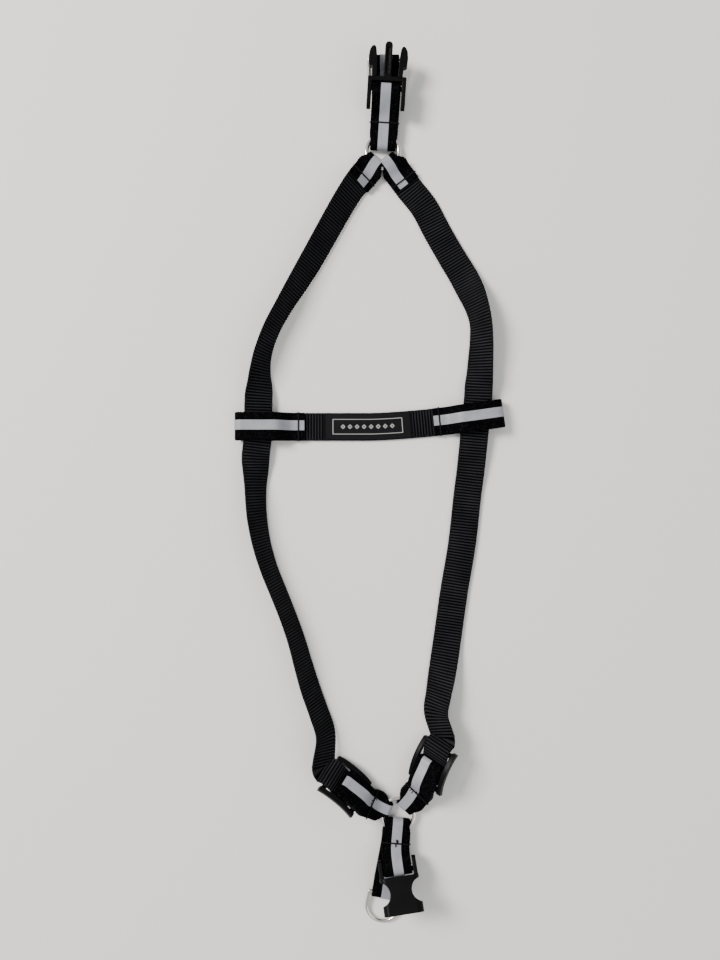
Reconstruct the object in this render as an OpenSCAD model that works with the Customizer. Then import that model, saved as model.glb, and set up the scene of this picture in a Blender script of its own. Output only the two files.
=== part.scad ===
// Step-in dog harness laid flat, inner faces up. Two narrow webbing straps meet at a round
// ring at each end. A short doubled tab leaves each ring and holds half of a side-release
// buckle and a D-ring. A looped cross strap slides along the two long straps.

/* [Webbing] */
// Width of the webbing
web_w = 16; // [15.6:0.1:16.2]
// Thickness of the webbing
web_t = 1.3; // [1.2:0.05:1.35]
// Width of the reflective tape sewn along the outer face
tape_w = 5.6; // [4:0.2:6.4]
// Thickness of the reflective tape
tape_t = 0.25; // [0.15:0.05:0.25]

/* [Rings] */
// Inside diameter of the two round rings
ring_id = 16; // [15.8:0.1:16.6]
// Wire diameter of the round rings
ring_wire = 2.4; // [2.2:0.05:2.45]
// Inside length of the D-ring bar
dee_w = 16.3; // [16.2:0.1:17]
// Wire diameter of the D-rings
dee_wire = 2.1; // [1.9:0.05:2.15]
// Height of a D-ring from bar centre to the middle of its bow
dee_h = 16.5; // [14:0.5:18]

/* [Buckle] */
// Overall width of both buckle halves
buckle_w = 21.4; // [21:0.1:22.4]
// Thickness of the buckle rails
rail_t = 5; // [4.6:0.1:5.2]
// Outside height of the socket
socket_h = 7.6; // [7.4:0.1:8]
// Length of the socket shell in front of its bar
socket_len = 18.3; // [17.5:0.1:21]
// Length of the centre guide of the plug in front of its bar
guide_len = 24.2; // [22:0.2:25]

/* [Slides] */
// Overall width of a strap slide
slide_w = 22.4; // [21.6:0.2:23.6]
// Overall length of a strap slide
slide_len = 24; // [23:0.5:25]
// Height of the bow in a strap slide
slide_bow = 2.2; // [2:0.1:2.4]

/* [Label] */
// Length of the woven label
label_len = 48; // [30:1:56]
// Width of the woven label
label_w = 14.4; // [12:0.2:15]

/* [Hidden] */
$fn = 48;
webbing = [0.13, 0.13, 0.14];
plastic = [0.1, 0.1, 0.11];
thread = [0.07, 0.07, 0.08];
nickel = [0.78, 0.77, 0.75];
half_w = web_w / 2;
tape_gap = 0.1;                  // clear of the webbing's own facets
step_h = web_t + 0.1;            // pitch of stacked layers
low = tape_t + web_t / 2;        // middle of the lowest layer
ring_r = (ring_id + ring_wire) / 2;
ring_z = tape_t + web_t + 0.2 + ring_wire / 2;
fold_r = ring_z - low;           // middle radius of a fold round a ring
bar_r = 1.2;                     // buckle bars
bar_fold = bar_r + 0.15 + web_t / 2;
dee_r = dee_wire / 2;
dee_fold = dee_r + 0.15 + web_t / 2;
dee_x = (dee_w + dee_wire) / 2;  // middle of a D-ring leg
frame_at = [0.46, -0.47, 0];     // puts the middle of the whole harness on the origin

upper_c = [7.7, 190.6, 0];       // middle of the upper ring
lower_c = [16.3, -185, 0];       // middle of the lower ring
hinge_s = 12.5;                  // fold line of each tab, from the ring's middle
tack_s = 15;                     // bar tack of each tab

// A lay says how a strap leaves a ring: middle, first and last heading with the stretch
// in which it turns, largest roll and its stretch, lift and its stretch, and outer side.
top_left = [upper_c, 230.7, 230.7, 20, 30, 41, 8, 28, 0, 20, 30, -1];
top_right = [upper_c, 307.1, 307.1, 20, 30, 0, 8, 28, 0, 20, 30, 1];
low_left = [lower_c, 157, 140, 14.5, 23.5, 38, 11.2, 23.5, 3.4, 15, 23.5, 1];
low_right = [lower_c, 48, 68, 15.5, 24.5, 38, 11.2, 24.5, 3.4, 15, 24.5, -1];
up_front = [upper_c, 86.5, 86.5, 13, 20, 0, 8, 24, 0, 20, 30, 1];
up_back = [upper_c, 86.5, 91, 25, 33, 0, 8, 24, 0, 20, 30, 1];
low_front = [lower_c, -95, -81, 14, 24, 0, 8, 24, 0, 20, 30, 1];
low_back = [lower_c, -95, -101, 13, 20, 0, 8, 24, 0, 20, 30, 1];

plug_s = 31.6;                   // plug bar, from the upper ring
plug_z = 10.8;
plug_pitch = 5;
socket_s = 28.2;                 // socket bar, from the lower ring
socket_z = 9.6;
socket_pitch = 28;
up_dee_s = 50;
up_dee_low = 4.9;                // middle of the layer under the upper D-ring bar
low_dee_s = 45.6;
left_slide_s = 35.5;
right_slide_s = 36.5;
slide_h = 3.7;                   // centre bar of a slide above the strap's own base
slide_span = 10;                 // centre bar to end bar
slide_bar_t = 2;                 // thickness of the slide bars
slide_bar_l = 3;                 // their length along the strap
slide_exit = 15.5;               // where the run meets the part lying in the slide
wrap_r = 1.85;                   // middle radius of the fold round a centre bar

// Long straps between the loops: [x, y, roll of the outer edge, lift]
left_run = [
    [-16.6, 157.8, 42, 0], [-32, 130.2, 46, 0], [-39.5, 117.4, 52, 0], [-48, 103.3, 62, 0],
    [-55.4, 89.6, 64, 0], [-60.1, 76.5, 61, 0], [-61.8, 66, 51, 0], [-62.1, 58, 34, 0.6],
    [-62.6, 50, 13, 2.1], [-63, 30, 12, 2.1], [-64.2, 18, 13, 2.1], [-64.3, 10, 32, 0.8],
    [-64.4, 2, 46, 0], [-64.2, -8, 52, 0], [-63.4, -18, 55, 0], [-61, -31.4, 59, 0],
    [-56.9, -45.2, 62, 0], [-51.8, -58, 63, 0], [-46.3, -71.8, 63, 0], [-41.5, -85.5, 61, 0],
    [-37.9, -98.3, 58, 0], [-33.8, -112.1, 55, 0], [-29, -125.8, 55, 0], [-25, -139, 51, 0.6]];
right_run = [
    [31.4, 159.7, 0, 0], [38.9, 145.7, 0, 0], [46.9, 131.7, 2, 0], [54.4, 118.8, 10, 0],
    [60.3, 105, 40, 0], [63.2, 94, 49, 0], [63.7, 83, 44, 0], [63.3, 73, 37, 0],
    [62.7, 64, 29, 0.8], [62, 57, 13, 2], [61.6, 50, 11, 2.1], [60.3, 38, 8, 2.1],
    [59, 24, 5, 2.1], [57.6, 9, 3, 0.8], [55.9, -5, 2, 0], [52.9, -31.9, 2, 0],
    [48.4, -58.9, 2, 0], [44.4, -86.8, 4, 0], [41.9, -103, 17, 0], [39.6, -116, 33, 0],
    [38.1, -127, 38, 0.6]];

// Cross strap: fold ends, tacks, cut ends, height inside its loops
cross_x = 76.1;
cross_y = 34.8;
cross_rise = 7.6;
cross_tack = 40;
cross_cut = 36.7;
cross_top = 7.9;                 // middle of the upper layer over a long strap

// ---- small helpers ----
function mix(a, b, t) = a + (b - a) * t;
function ease(a, b, x) = let (t = max(0, min(1, (x - a) / (b - a)))) t * t * (3 - 2 * t);
function unit(v) = v / norm(v);
function heading(a) = [cos(a), sin(a), 0];
function total(list) = [for (v = list) 1] * list;
function reverse(list) = [for (i = [len(list) - 1:-1:0]) list[i]];

// ---- how a strap lies near a ring ----
function lay_az(q, s) = mix(q[1], q[2], ease(q[3], q[4], s));
function lay_roll(q, s) = q[5] * ease(q[6], q[7], s);
function lay_lift(q, s) = q[8] * ease(q[9], q[10], s);
function walk(q, s, n = 24) = q[0]
    + s / n * total([for (i = [0:n - 1]) heading(lay_az(q, s * (i + 0.5) / n))]);
function lay_out(q, s) = q[11] * [-sin(lay_az(q, s)), cos(lay_az(q, s)), 0];
function lay_up(q, s) = [0, 0, cos(lay_roll(q, s))] - lay_out(q, s) * sin(lay_roll(q, s));
function lay_base(q, s) = walk(q, s) + [0, 0, half_w * sin(lay_roll(q, s)) + lay_lift(q, s)];

// A frame is [middle, side, normal, outer half width, inner half width].
function lay_frame(q, p, d, face, w) =
    let (s = p[0], t = unit(d), up = lay_up(q, s))
    [lay_base(q, s) + up * p[1], lay_out(q, s) * cos(lay_roll(q, s)) + [0, 0, sin(lay_roll(q, s))],
     face * (up * t[0] - heading(lay_az(q, s)) * t[1]), w[0], w[1]];
function lay_frames(q, pts, face, w) = [for (i = [0:len(pts) - 1])
    lay_frame(q, pts[i], pts[min(i + 1, len(pts) - 1)] - pts[max(i - 1, 0)], face, w(pts[i][0]))];

// Side-view paths as [distance, height]: eased runs between stops, and round folds.
function eased(stops, gap = 1.6) = [for (i = [0:len(stops) - 2])
    let (a = stops[i], b = stops[i + 1], n = max(1, ceil(abs(b[0] - a[0]) / gap)))
    for (k = [0:n - 1]) [mix(a[0], b[0], k / n), mix(a[1], b[1], ease(0, 1, k / n))]];
function fold(c, r, from, to, n = 8) =
    [for (k = [0:n]) let (a = mix(from, to, k / n)) c + r * [cos(a), sin(a)]];

// Width limits at a ring: the loops narrow inside the ring and meet along one line.
function meet_w(q, line, s) = let (c = walk(q, s) - q[0], o = lay_out(q, s), b = heading(line))
    abs((c[0] * b[1] - c[1] * b[0]) / (o[0] * b[1] - o[1] * b[0])) - 0.35;
function loop_w(q, line, outer, inner) = function (s)
    [mix(outer, half_w, ease(6, 12, s)), min(mix(inner, half_w, ease(6, 12, s)), meet_w(q, line, s))];
function tab_w(at_ring, at_dee, dee_s) = function (s)
    (mix(at_ring, half_w, ease(5, 10, s)) - (half_w - at_dee) * ease(dee_s - 8, dee_s - 3, s)) * [1, 1];

// ---- a strap between its loops ----
function spline(a, b, c, d, t) = ((2 * b) + (c - a) * t + (2 * a - 5 * b + 4 * c - d) * t * t
    + (3 * b - a - 3 * c + d) * t * t * t) / 2;
function slope(a, b, c, d, t) = ((c - a) + (2 * a - 5 * b + 4 * c - d) * 2 * t
    + (3 * b - a - 3 * c + d) * 3 * t * t) / 2;
function run_frame(v, d, hand) =
    let (dir = unit([d[0], d[1], 0]), out = hand * [-dir[1], dir[0], 0], roll = max(0, v[2]),
         up = [0, 0, cos(roll)] - out * sin(roll), side = out * cos(roll) + [0, 0, sin(roll)])
    [[v[0], v[1], half_w * sin(roll) + max(0, v[3])] + up * low, side, up, half_w, half_w];
function run_frames(st, hand, n = 8) = [for (i = [1:len(st) - 3]) for (k = [0:n - 1])
    run_frame(spline(st[i - 1], st[i], st[i + 1], st[i + 2], k / n),
              slope(st[i - 1], st[i], st[i + 1], st[i + 2], k / n), hand)];
function lay_station(q, s) = let (p = walk(q, s)) [p[0], p[1], lay_roll(q, s), lay_lift(q, s)];

// Side view of a strap's top loop: cut end on top, round the ring, out below.
function fold_mid(edge) = edge + fold_r + web_t / 2;
function top_loop(edge) = concat(
    eased([[23.2, low + step_h], [15.5, low + step_h], [9, ring_z + fold_r],
        [fold_mid(edge), ring_z + fold_r]]),
    fold([fold_mid(edge), ring_z], fold_r, 90, 270),
    eased([[fold_mid(edge) + 0.6, low], [24, low]]));
// Side view of a strap's lower end: through the slide, round the ring, back to the slide's
// centre bar, round it, and back below to the tack.
function weave_in(c) = eased([[c + slide_exit, low], [c + slide_span + 1.7, slide_h - slide_bow + 1.95],
    [c + slide_span - 1, slide_h - slide_bow + 1.95], [c, slide_h - 3.4],
    [c - slide_span, slide_h - slide_bow + 1.85], [17.5, low], [8.5, low]]);
function ring_turn(edge) = fold([fold_mid(edge), ring_z], fold_r, 270, 90);
function weave_back(c, edge) = concat(
    eased([[fold_mid(edge) + 0.6, ring_z + fold_r], [9, ring_z + fold_r],
        [16.5, low + 2 * step_h + 0.1], [c - slide_span, slide_h - slide_bow + 4.9],
        [c + 0.5, slide_h + wrap_r]]),
    fold([c + 0.5, slide_h], wrap_r, 90, -90));
function tail(c) = eased([[c, slide_h - wrap_r], [c - slide_span, slide_h - slide_bow + 3.35],
    [17.5, low + step_h + 0.05], [13.5, low + step_h + 0.05]]);

left_edge_t = 4.4;   // folds of the four strap loops, from the ring's middle
right_edge_t = 3.4;
left_edge_b = 4.6;
right_edge_b = 4.2;
left_top_w = loop_w(top_left, 268.9, 5.4, 5);
right_top_w = loop_w(top_right, 268.9, 4.4, 5);
left_low_w = loop_w(low_left, 102, 3, 4.9);
right_low_w = loop_w(low_right, 102, 5.2, 5);

left_top = lay_frames(top_left, top_loop(left_edge_t), 1, left_top_w);
function whole_run(top, run, low_lay, c) = concat([lay_station(top, 20), lay_station(top, 26)], run,
    [lay_station(low_lay, c + slide_exit), lay_station(low_lay, c + 6)]);
left_mid = run_frames(whole_run(top_left, left_run, low_left, left_slide_s), -1);
left_in = lay_frames(low_left, concat(weave_in(left_slide_s), ring_turn(left_edge_b)), -1,
    left_low_w);
left_back = lay_frames(low_left, weave_back(left_slide_s, left_edge_b), -1, left_low_w);
left_tail = lay_frames(low_left, tail(left_slide_s), -1, left_low_w);
right_top = lay_frames(top_right, top_loop(right_edge_t), 1, right_top_w);
right_mid = run_frames(whole_run(top_right, right_run, low_right, right_slide_s), 1);
right_in = lay_frames(low_right, concat(weave_in(right_slide_s), ring_turn(right_edge_b)), -1,
    right_low_w);
right_back = lay_frames(low_right, weave_back(right_slide_s, right_edge_b), -1, right_low_w);
right_tail = lay_frames(low_right, tail(right_slide_s), -1, right_low_w);

// ---- tabs ----
tab_edge_t = 0.7;
tab_edge_b = 1.8;
upper_w = tab_w(7.4, 7.8, up_dee_s);
lower_w = tab_w(7.2, 7.8, low_dee_s);
function tab_turn(edge) = fold([fold_mid(edge), ring_z], fold_r, 90, 270);
// Layers from below: back, D-ring return, buckle return, front.
function front_out(bar_s, bar_z) = concat(
    eased([[tack_s - 1.5, low + 2 * step_h], [tack_s + 1.5, low + 2 * step_h],
        [bar_s, bar_z - bar_fold]]),
    fold([bar_s, bar_z], bar_fold, -90, 90),
    eased([[bar_s - 0.8, bar_z + bar_fold], [tack_s + 1.5, low + 3 * step_h],
        [hinge_s + 0.3, low + 3 * step_h]]),
    [[hinge_s + 0.3, low + 3 * step_h]]);
function front_in(edge) =
    eased([[hinge_s - 0.3, low + 3 * step_h], [fold_mid(edge) + 0.5, ring_z + fold_r]]);
function back_out(edge) = concat(eased([[fold_mid(edge) + 0.6, low], [hinge_s - 0.3, low]]),
    [[hinge_s - 0.3, low]]);
function back_dee(dee_s, dee_low, rise_s) = concat(
    eased([[hinge_s + 0.3, low], [tack_s + 3, low], [rise_s, dee_low], [dee_s, dee_low]]),
    fold([dee_s, dee_low + dee_fold], dee_fold, -90, 90),
    eased([[dee_s - 1.5, dee_low + 2 * dee_fold], [dee_s - 6, dee_low + step_h + 0.1],
        [rise_s - 1.5, dee_low + step_h + 0.1], [tack_s + 1, low + step_h],
        [tack_s - 1.5, low + step_h]]),
    [[tack_s - 1.5, low + step_h]]);
function ring_loop(edge) = concat(front_in(edge), tab_turn(edge), back_out(edge));
up_loop = lay_frames(up_front, ring_loop(tab_edge_t), 1, upper_w);
low_loop = lay_frames(low_front, ring_loop(tab_edge_b), 1, lower_w);
flat_w = function (s) [half_w, half_w];
up_front_f = lay_frames(up_front, front_out(plug_s, plug_z), 1, flat_w);
low_front_f = lay_frames(low_front, front_out(socket_s, socket_z), 1, flat_w);
up_back_f = lay_frames(up_back, back_dee(up_dee_s, up_dee_low, 34), 1, upper_w);
low_back_f = lay_frames(low_back, back_dee(low_dee_s, low, 30), 1, lower_w);

// ---- cross strap ----
function cross_mid(x) = cross_y + cross_rise * pow(max(0, x) / cross_x, 1.5);
function cross_frame(p, d) =
    let (dir = unit([1, (cross_mid(p[0] + 0.5) - cross_mid(p[0] - 0.5)), 0]), t = unit(d))
    [[p[0], cross_mid(p[0]), p[1]], [-dir[1], dir[0], 0], [0, 0, t[0]] - dir * t[1], half_w, half_w];
cross_r = (cross_top - low) / 2;
cross_turn = cross_x - cross_r - web_t / 2 - tape_t;
cross_half = concat(
    eased([[cross_cut, low + step_h], [cross_tack + 3, low + step_h],
        [cross_tack + 13.5, cross_top], [cross_turn, cross_top]], 1.8),
    fold([cross_turn, low + cross_r], cross_r, 90, -90, 10));
cross_line = eased([[cross_turn - 1, low], [-cross_turn + 1, low]], 6);
cross_pts = concat([for (p = cross_half) [-p[0], p[1]]], reverse(cross_line), reverse(cross_half));
cross_f = [for (i = [0:len(cross_pts) - 1])
    cross_frame(cross_pts[i], cross_pts[min(i + 1, len(cross_pts) - 1)] - cross_pts[max(i - 1, 0)])];

// ---- solids along frames ----
// Closed band between two heights over the frames. Seams part its outer face where tape lies,
// and both broad faces split their quads the same way, so a tape never cuts into its strap.
function edge_pts(f, lo, hi, a, b, seams) = concat(
    [f[0] + f[1] * a + f[2] * hi, f[0] - f[1] * b + f[2] * hi, f[0] - f[1] * b + f[2] * lo],
    [for (y = seams) f[0] + f[1] * max(0.05 - b, min(a - 0.05, y)) + f[2] * lo],
    [f[0] + f[1] * a + f[2] * lo]);
module band(frames, lo = -web_t / 2, hi = web_t / 2, a = half_w, b = half_w, seams = []) {
    n = len(frames);
    m = 4 + len(seams);
    last = m * (n - 1);
    flip = cross(frames[0][1], frames[0][2]) * (frames[1][0] - frames[0][0]) > 0;
    pts = [for (f = frames) each edge_pts(f, lo, hi, min(a, f[3]), min(b, f[4]), seams)];
    side = [for (i = [0:n - 2]) for (k = [0:m - 1]) let (p = m * i + k, r = m * i + (k + 1) % m)
        each k == 0 ? [[p, r, p + m], [r, r + m, p + m]] : [[p, r, r + m], [p, r + m, p + m]]];
    caps = [for (k = [1:m - 2]) each [[0, k + 1, k], [last, last + k, last + k + 1]]];
    faces = concat(side, caps);
    translate(-frame_at) polyhedron(pts, flip ? [for (f = faces) reverse(f)] : faces);
}
module strap(frames, off) color(webbing)
    band(frames, seams = [off - tape_w / 2, off + tape_w / 2]);
module tape(frames, off) color([0.64, 0.64, 0.67])
    band(frames, -web_t / 2 - tape_t, -web_t / 2 - tape_gap, tape_w / 2 + off, tape_w / 2 - off);
// Short row of thread across the outer face, standing a little past the edges.
tack_half = [0.5, 8.2];
module thread_row(f, t) color(thread)
    band([for (d = [-1, 1] * tack_half[0]) [f[0] + t * d, f[1], f[2], tack_half[1], tack_half[1]]],
        web_t / 2 + tape_t + 0.02, web_t / 2 + tape_t + 0.4, tack_half[1], tack_half[1]);
module tack(q, s, h)
    thread_row(lay_frame(q, [s, h], [1, 0], 1, [half_w, half_w]), heading(lay_az(q, s)));
module at_lay(q, s, h) translate(lay_base(q, s) + lay_up(q, s) * h - frame_at)
    rotate([0, 0, lay_az(q, s)]) rotate([q[11] * lay_roll(q, s), 0, 0]) children();

// ---- straps ----
left_tape_off = -1.2;            // tape off the middle, towards the inner edge
right_tape_off = -2.2;
tab_tape_off = 0.3;
cross_tape_off = 0.7;
fold_rows = 9;                   // rows of frames in one round fold
under_rows = 5;                  // taped rows before the fold round the lower ring
bare_rows = 5;                   // bare rows at the end of the fold round a centre bar
front_rows = 15;                 // taped rows of a tab's front layer
function frames_between(f, from, to) = [for (i = [from:to]) f[i]];
function taped_loop(in, back) = concat(
    frames_between(in, len(in) - fold_rows - under_rows, len(in) - 1),
    frames_between(back, 0, len(back) - 1 - bare_rows));
module left_strap()
    strap(concat(left_top, left_mid, left_in, left_back, left_tail), left_tape_off);
module right_strap()
    strap(concat(right_top, right_mid, right_in, right_back, right_tail), right_tape_off);
// Tape on the stretches where the outer face is open: over the top loop and down the long
// run, then from under the lower ring to the wrap round the slide's centre bar.
module left_strap_tape() {
    tape(concat(left_top, left_mid), left_tape_off);
    tape(taped_loop(left_in, left_back), left_tape_off);
}
module right_strap_tape() {
    tape(concat(right_top, right_mid), right_tape_off);
    tape(taped_loop(right_in, right_back), right_tape_off);
}
module left_top_tack() tack(top_left, 18.1, low + step_h + 0.25);
module right_top_tack() tack(top_right, 19.9, low + step_h);
module left_bottom_tack() tack(low_left, 16.5, low + 2 * step_h + 1);
module right_bottom_tack() tack(low_right, 17.5, low + 2 * step_h + 1.15);

// ---- slides ----
// Three-bar slide with its centre bar on the local Y axis and end bars bowed down.
module slide() {
    rail_y = slide_w / 2 - 1.35;
    bow_r = (slide_span * slide_span + slide_bow * slide_bow) / 2 / slide_bow;
    for (side = [-1, 1]) translate([0, side * rail_y + 1.35, 0]) rotate([90, 0, 0]) linear_extrude(2.7)
        intersection() {
            translate([0, -bow_r]) difference() {
                circle(bow_r + 1.4, $fn = 180);
                circle(bow_r - 1.4, $fn = 180);
            }
            translate([-slide_len / 2, -slide_len / 4]) square([slide_len, slide_len / 2]);
        }
    for (x = [-1, 0, 1]) translate([x * slide_span, -rail_y, -abs(x) * slide_bow]) slide_bar(2 * rail_y);
}
module slide_bar(len) rotate([-90, 0, 0]) linear_extrude(len) {
    square([slide_bar_l - slide_bar_t, slide_bar_t], center = true);
    for (side = [-1, 1]) translate([side * (slide_bar_l - slide_bar_t) / 2, 0]) circle(slide_bar_t / 2);
}
module left_slide() color(plastic) at_lay(low_left, left_slide_s, slide_h) slide();
module right_slide() color(plastic) at_lay(low_right, right_slide_s, slide_h) slide();

// ---- rings ----
module ring(c) color(nickel) translate(c - frame_at + [0, 0, ring_z])
    rotate_extrude($fn = 96) translate([ring_r, 0]) circle(ring_wire / 2);
module upper_ring() ring(upper_c);
module lower_ring() ring(lower_c);

// D-ring with its bar on the local Y axis and its bow towards +X.
module dee() {
    leg = dee_h - dee_x;
    rotate([90, 0, 0]) cylinder(r = dee_r, h = 2 * dee_x, center = true);
    for (side = [-1, 1]) translate([0, side * dee_x, 0]) {
        sphere(dee_r);
        rotate([0, 90, 0]) cylinder(r = dee_r, h = leg + 0.01);
    }
    translate([leg, 0, 0]) rotate([0, 0, -90]) rotate_extrude(angle = 180, $fn = 96)
        translate([dee_x, 0]) circle(dee_r);
}
// The upper one is turned back under its tab. Both bows rest on the floor.
up_dee_tilt = asin((up_dee_low + dee_fold - dee_r) / dee_h);
low_dee_tilt = asin((low + dee_fold - dee_r) / dee_h);
module upper_dee_ring() color(nickel) at_lay(up_back, up_dee_s, up_dee_low + dee_fold)
    rotate([0, 180 - up_dee_tilt, 0]) dee();
module lower_dee_ring() color(nickel) at_lay(low_back, low_dee_s, low + dee_fold)
    rotate([0, low_dee_tilt, 0]) dee();

// ---- tabs ----
module upper_tab_loop() color(webbing) band(up_loop);
module lower_tab_loop() color(webbing) band(low_loop);
module upper_tab() color(webbing) {
    band(up_front_f);
    band(up_back_f);
}
module lower_tab() color(webbing) {
    band(low_front_f);
    band(low_back_f);
}
module front_tape(f) tape(frames_between(f, len(f) - front_rows, len(f) - 1), tab_tape_off);
module upper_tab_tape() front_tape(up_front_f);
module lower_tab_tape() front_tape(low_front_f);
module upper_tab_tack() tack(up_front, tack_s, low + 3 * step_h);
module lower_tab_tack() tack(low_front, tack_s, low + 3 * step_h);

// ---- buckle plug, with its bar on the local Y axis and its arms towards +X ----
rail_w = 2.3;
rail_y = buckle_w / 2 - rail_w / 2;
arm_root = [6.7, 7.2];
arm_t = 4.2;
module rails(back) {
    rotate([90, 0, 0]) cylinder(r = bar_r, h = 2 * rail_y, center = true);
    for (side = [-1, 1]) translate([0, side * rail_y, 0]) rotate([90, 0, 0])
        linear_extrude(rail_w, center = true) {
            translate([-back + rail_t / 2, -rail_t / 2]) square([back - rail_t / 2 + 3.6, rail_t]);
            translate([-back + rail_t / 2, 0]) circle(rail_t / 2);
        }
}
module guide_plan(grow = 0) {
    translate([4.5, -2.1 - grow]) square([guide_len - 6.5, 4.2 + 2 * grow]);
    translate([guide_len - 2.1, 0]) circle(2.1 + grow);
}
module plug_shape() {
    rails(11.5);
    difference() {
        translate([3.1, -buckle_w / 2, -rail_t / 2]) cube([2.4, buckle_w, rail_t]);
        for (side = [-1, 1])
            translate([arm_root[0], side * arm_root[1], -5]) cylinder(r = 1.75, h = 10);
    }
    difference() {
        translate([0, 0, -2.2]) linear_extrude(4.4) guide_plan();
        for (side = [-1, 1])
            translate([7, -1, side * 2.2 - 0.9]) cube([guide_len - 10, 2, 1.8]);
    }
}
module arm_plan() polygon(concat(
    [for (a = [-110:-20:-250]) 1.5 * [cos(a), sin(a)]],
    [for (p = [[7.4, 8.6], [11, 8.8], [11.2, 10.2], [12, 10.7], [16, 10.9], [19.3, 10.5],
        [21.2, 9.5], [21.9, 8.4], [21.6, 7.4], [20.2, 6.8], [16.5, 6.3], [12, 6], [7.4, 5.8]])
        p - arm_root]));
module arm() linear_extrude(arm_t, center = true) arm_plan();
module at_plug() at_lay(up_front, plug_s, plug_z) rotate([0, -plug_pitch, 0]) children();
module plug_body() color(plastic) at_plug() plug_shape();
module plug_arm_left() color(plastic) at_plug() translate(arm_root) arm();
module plug_arm_right() color(plastic) at_plug() mirror([0, 1, 0]) translate(arm_root) arm();

// ---- buckle socket, with its bar on the local Y axis and its mouth towards +X ----
waist = 6;
wall = 1.25;
mouth_x = 3 + socket_len;
module socket_section(w, h) rotate([90, 0, 90]) linear_extrude(mouth_x - 3) {
    r = min(w, h) / 2 - 0.3;
    square([w - 2 * r, h], center = true);
    square([w, h - 2 * r], center = true);
    for (sx = [-1, 1], sy = [-1, 1]) translate([sx * (w / 2 - r), sy * (h / 2 - r)]) circle(r);
}
module socket_shape() {
    rails(6.5);
    difference() {
        translate([3, 0, 0]) socket_section(buckle_w + 0.6, socket_h);
        for (side = [-1, 1])
            translate([10.6, side * (waist + 5.8), -10]) cylinder(r = 5.8, h = 20);
        difference() {
            translate([6.2, -9.3, -socket_h / 2 + wall]) cube([mouth_x, 18.6, socket_h - 2 * wall]);
            translate([6, -12, -10]) cube([0.4, 24, 20]);
        }
    }
}
module socket_body() color(plastic) at_lay(low_front, socket_s, socket_z)
    rotate([0, -socket_pitch, 0]) socket_shape();

// ---- cross strap ----
module cross_strap() color(webbing) band(cross_f);
fold_count = len(cross_half);
module cross_strap_tape() {
    tape(frames_between(cross_f, 0, fold_count - 1), cross_tape_off);
    tape(frames_between(cross_f, len(cross_f) - fold_count, len(cross_f) - 1), cross_tape_off);
}
module cross_tack(x)
    thread_row(cross_frame([x, low + step_h], [1, 0]), [1, 0, 0]);
module cross_left_tack() cross_tack(-cross_tack);
module cross_right_tack() cross_tack(cross_tack);
label_rows = 12;
label_f = [for (i = [0:label_rows]) cross_frame(
    [mix(-label_len / 2 - 0.8, label_len / 2 - 0.8, i / label_rows), low], [1, 0])];
module label() color([0.08, 0.08, 0.09])
    band(label_f, web_t / 2 + 0.02, web_t / 2 + 0.45, label_w / 2, label_w / 2);
module label_stitching() color(thread) for (end = [0, label_rows])
    band([for (d = [0.7, 1.2]) cross_frame([label_f[end][0][0] + (end == 0 ? d : -d), low], [1, 0])],
        web_t / 2 + 0.47, web_t / 2 + 0.75, label_w / 2 - 0.6, label_w / 2 - 0.6);

left_strap();
right_strap();
left_strap_tape();
right_strap_tape();
left_top_tack();
right_top_tack();
left_bottom_tack();
right_bottom_tack();
left_slide();
right_slide();
upper_ring();
lower_ring();
upper_tab_loop();
lower_tab_loop();
upper_tab();
lower_tab();
upper_tab_tape();
lower_tab_tape();
upper_tab_tack();
lower_tab_tack();
plug_body();
plug_arm_left();
plug_arm_right();
socket_body();
upper_dee_ring();
lower_dee_ring();
cross_strap();
cross_strap_tape();
cross_left_tack();
cross_right_tack();
label();
label_stitching();
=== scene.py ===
import math
import bpy
import numpy as np
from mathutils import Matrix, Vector


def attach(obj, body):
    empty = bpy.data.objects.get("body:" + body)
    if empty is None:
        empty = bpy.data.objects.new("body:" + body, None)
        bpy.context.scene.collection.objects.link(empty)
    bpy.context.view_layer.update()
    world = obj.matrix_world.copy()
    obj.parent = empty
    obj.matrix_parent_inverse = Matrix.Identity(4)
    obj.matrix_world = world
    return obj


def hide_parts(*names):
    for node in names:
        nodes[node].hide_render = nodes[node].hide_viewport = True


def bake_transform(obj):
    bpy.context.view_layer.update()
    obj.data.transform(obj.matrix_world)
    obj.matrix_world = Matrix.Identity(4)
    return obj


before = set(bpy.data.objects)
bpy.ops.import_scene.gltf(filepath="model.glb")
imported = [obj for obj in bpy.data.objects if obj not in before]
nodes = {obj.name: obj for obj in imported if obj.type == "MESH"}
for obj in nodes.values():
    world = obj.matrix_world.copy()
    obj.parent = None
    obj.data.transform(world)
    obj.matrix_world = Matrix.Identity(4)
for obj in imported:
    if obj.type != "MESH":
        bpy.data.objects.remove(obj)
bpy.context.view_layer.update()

mm = 0.001
print("frame loaded,", len(nodes), "nodes")

# Webbing, tape and layers, in millimetres
webbing = {"width": 16.0, "thick": 1.3, "ribPitch": 1.63, "ribDeep": 0.34, "ribFine": 0.1,
           "selvage": 0.28, "fray": 0.05}
tape = {"width": 5.6, "thick": 0.25, "lift": 0.02}
halfWidth = webbing["width"] / 2
halfThick = webbing["thick"] / 2
layer = webbing["thick"] + 0.1               # pitch of stacked layers
low = tape["thick"] + halfThick              # middle of the lowest layer
frameAt = np.array([0.46, -0.47, 0.0])       # middle of the whole harness

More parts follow.
